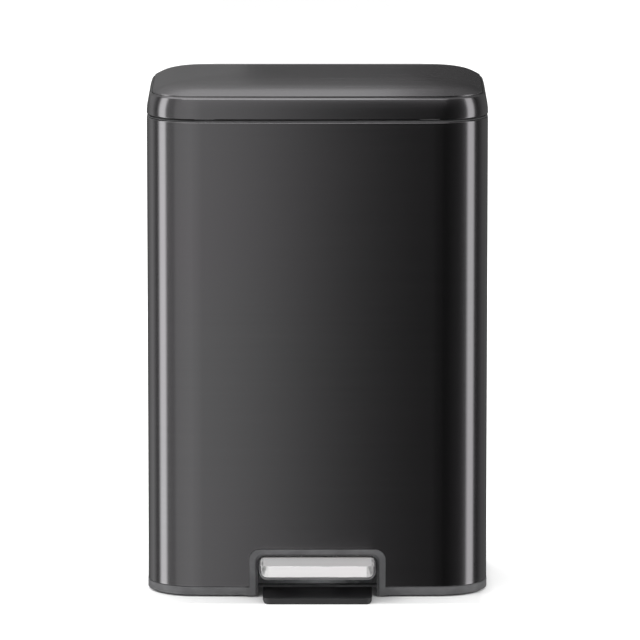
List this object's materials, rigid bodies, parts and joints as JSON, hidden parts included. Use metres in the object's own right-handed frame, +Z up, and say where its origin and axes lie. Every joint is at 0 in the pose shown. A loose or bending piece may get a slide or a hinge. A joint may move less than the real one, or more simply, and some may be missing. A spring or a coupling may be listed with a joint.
{
  "type": "pedal trash can",
  "caption": "Rectangular kitchen step can with rounded corners, dark brushed steel body, domed hinged lid, foot pedal, and lift-out inner bucket.",
  "frame": {"origin": "on the floor, under the middle of the whole footprint from the front foot to the hinge cover", "axes": "+Z up, -Y is the front with the pedal, +X to the right seen from the front"},
  "size_m": [0.4008, 0.318, 0.6087],
  "materials": {
    "black_steel": "black tinted stainless steel, fine horizontal brushing under a clear coat",
    "bright_steel": "satin stainless steel",
    "zinc_steel": "zinc plated steel",
    "grey_plastic": "fine moulded texture, dark grey",
    "black_plastic": "fine moulded texture, black",
    "bucket_plastic": "smooth moulded polypropylene, charcoal",
    "rubber": "soft moulded rubber"
  },
  "bodies": {
    "can": {"anti_tip_foot": "black_plastic", "base_moulding": "grey_plastic", "body_shell": "black_steel", "bucket_handle": "zinc_steel", "channel_cover": "bucket_plastic", "damper_cradle": "black_plastic", "damper_cylinder": "black_plastic", "handle_boss_left": "bucket_plastic", "handle_boss_right": "bucket_plastic", "hinge_backing_plate": "zinc_steel", "hinge_bracket": "zinc_steel", "hinge_cover": "black_plastic", "hinge_pin": "zinc_steel", "hinge_screw_1": "zinc_steel", "hinge_screw_2": "zinc_steel", "hinge_screw_3": "zinc_steel", "hinge_screw_4": "zinc_steel", "inner_bucket": "bucket_plastic", "lid_bumper_left": "rubber", "lid_bumper_right": "rubber", "pivot_bracket_left": "zinc_steel", "pivot_bracket_right": "zinc_steel", "pivot_pin": "zinc_steel", "rod_guide_lower": "black_plastic", "rod_guide_upper": "black_plastic", "rubber_foot_left_front": "rubber", "rubber_foot_left_rear": "rubber", "rubber_foot_right_front": "rubber", "rubber_foot_right_rear": "rubber", "top_collar": "grey_plastic"},
    "lid": {"lid_band": "black_steel", "lid_top_panel": "black_steel", "lid_liner": "black_plastic", "lid_hinge_leaf": "zinc_steel", "lid_arm": "zinc_steel"},
    "lift_rod": {"lift_rod": "zinc_steel", "rod_head": "grey_plastic", "rod_pin": "zinc_steel", "rod_foot": "black_plastic", "damper_rod": "bright_steel", "damper_clamp": "black_plastic"},
    "pedal": {"pedal_lever": "zinc_steel", "pedal_cap": "bright_steel", "pedal_core": "grey_plastic", "lever_roller": "black_plastic", "roller_pin": "zinc_steel"}
  },
  "joints": [
    {"name": "lid_hinge", "type": "hinge", "parent": "can", "child": "lid", "pos_m": [0, 0.145, 0.5632], "axis": [-1, 0, 0], "range_deg": [0, 80]},
    {"name": "rod_slide", "type": "slide", "parent": "can", "child": "lift_rod", "axis": [0, 0, 1], "range_m": [0, 0.03201]},
    {"name": "pedal_hinge", "type": "hinge", "parent": "can", "child": "pedal", "pos_m": [0, -0.052, 0.03], "axis": [1, 0, 0], "range_deg": [0, 10.8]}
  ],
  "couplings": [
    {"joint": "rod_slide", "follows": "lid_hinge", "m_per_rad": 0.022918},
    {"joint": "pedal_hinge", "follows": "lid_hinge", "ratio": 0.1349}
  ]
}
